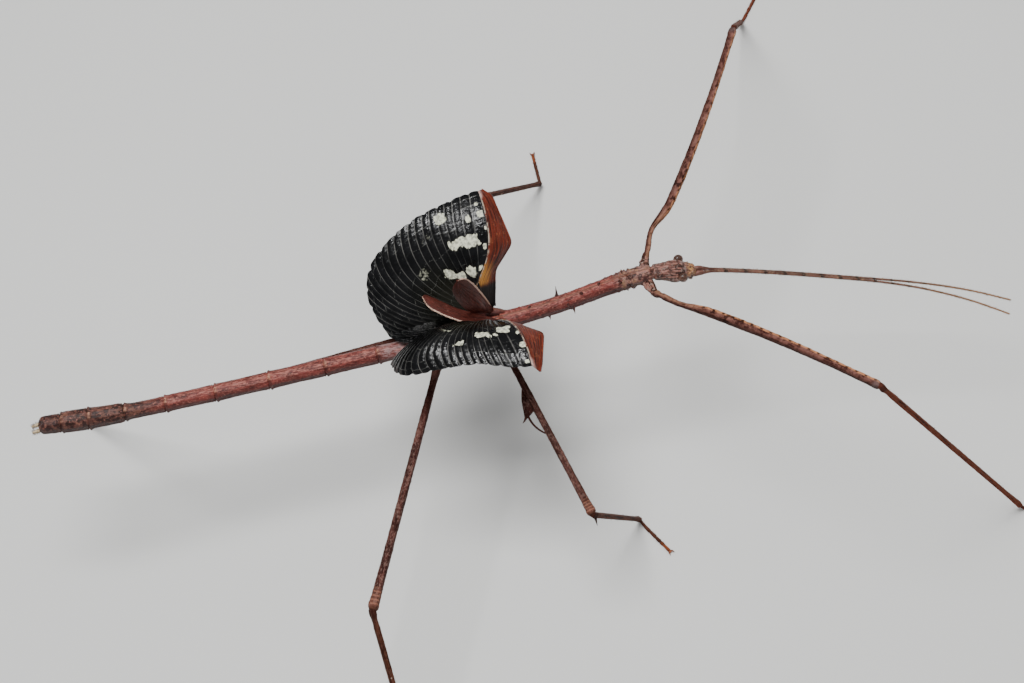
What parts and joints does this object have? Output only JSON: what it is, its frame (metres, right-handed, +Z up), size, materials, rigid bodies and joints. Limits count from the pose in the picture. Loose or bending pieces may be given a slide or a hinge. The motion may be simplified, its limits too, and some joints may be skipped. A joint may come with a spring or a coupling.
{
  "type": "gorgon stick insect",
  "caption": "Life-size still model of a winged male gorgon stick insect, standing with its short black hindwings spread.",
  "frame": {"origin": "on the floor under the middle of the insect's box, where its six feet rest", "axes": "+X from the tail to the head, +Y to the insect's left, +Z up"},
  "size_m": [0.1534, 0.146, 0.0431],
  "materials": {
    "body": "satin",
    "head": "satin",
    "antenna": "satin",
    "foreleg": "satin",
    "leg": "satin",
    "wing_membrane": "glossy",
    "remigium": "satin",
    "tegmen": "satin",
    "eye": "glossy",
    "cercus": "satin"
  },
  "bodies": {
    "root": {"abdomen_1": "body", "abdomen_10": "body", "abdomen_2": "body", "abdomen_3": "body", "abdomen_4": "body", "abdomen_5": "body", "abdomen_6": "body", "abdomen_7": "body", "abdomen_8": "body", "abdomen_9": "body", "antenna_left": "antenna", "antenna_right": "antenna", "cercus_left": "cercus", "cercus_right": "cercus", "eye_left": "eye", "eye_right": "eye", "foreleg_left_coxa": "foreleg", "foreleg_left_femur": "foreleg", "foreleg_left_tarsus": "foreleg", "foreleg_left_tibia": "foreleg", "foreleg_right_coxa": "foreleg", "foreleg_right_femur": "foreleg", "foreleg_right_tarsus": "foreleg", "foreleg_right_tibia": "foreleg", "head": "head", "hindleg_left_coxa": "leg", "hindleg_left_femur": "leg", "hindleg_left_tarsus": "leg", "hindleg_left_tibia": "leg", "hindleg_right_coxa": "leg", "hindleg_right_femur": "leg", "hindleg_right_tarsus": "leg", "hindleg_right_tibia": "leg", "hindwing_left": "wing_membrane", "hindwing_right": "wing_membrane", "mesothorax": "body", "metathorax": "body", "midleg_left_coxa": "leg", "midleg_left_femur": "leg", "midleg_left_tarsus": "leg", "midleg_left_tibia": "leg", "midleg_right_coxa": "leg", "midleg_right_femur": "leg", "midleg_right_tarsus": "leg", "midleg_right_tibia": "leg", "prothorax": "body", "remigium_left": "remigium", "remigium_right": "remigium", "tegmen_left": "tegmen", "tegmen_right": "tegmen"}
  },
  "joints": []
}
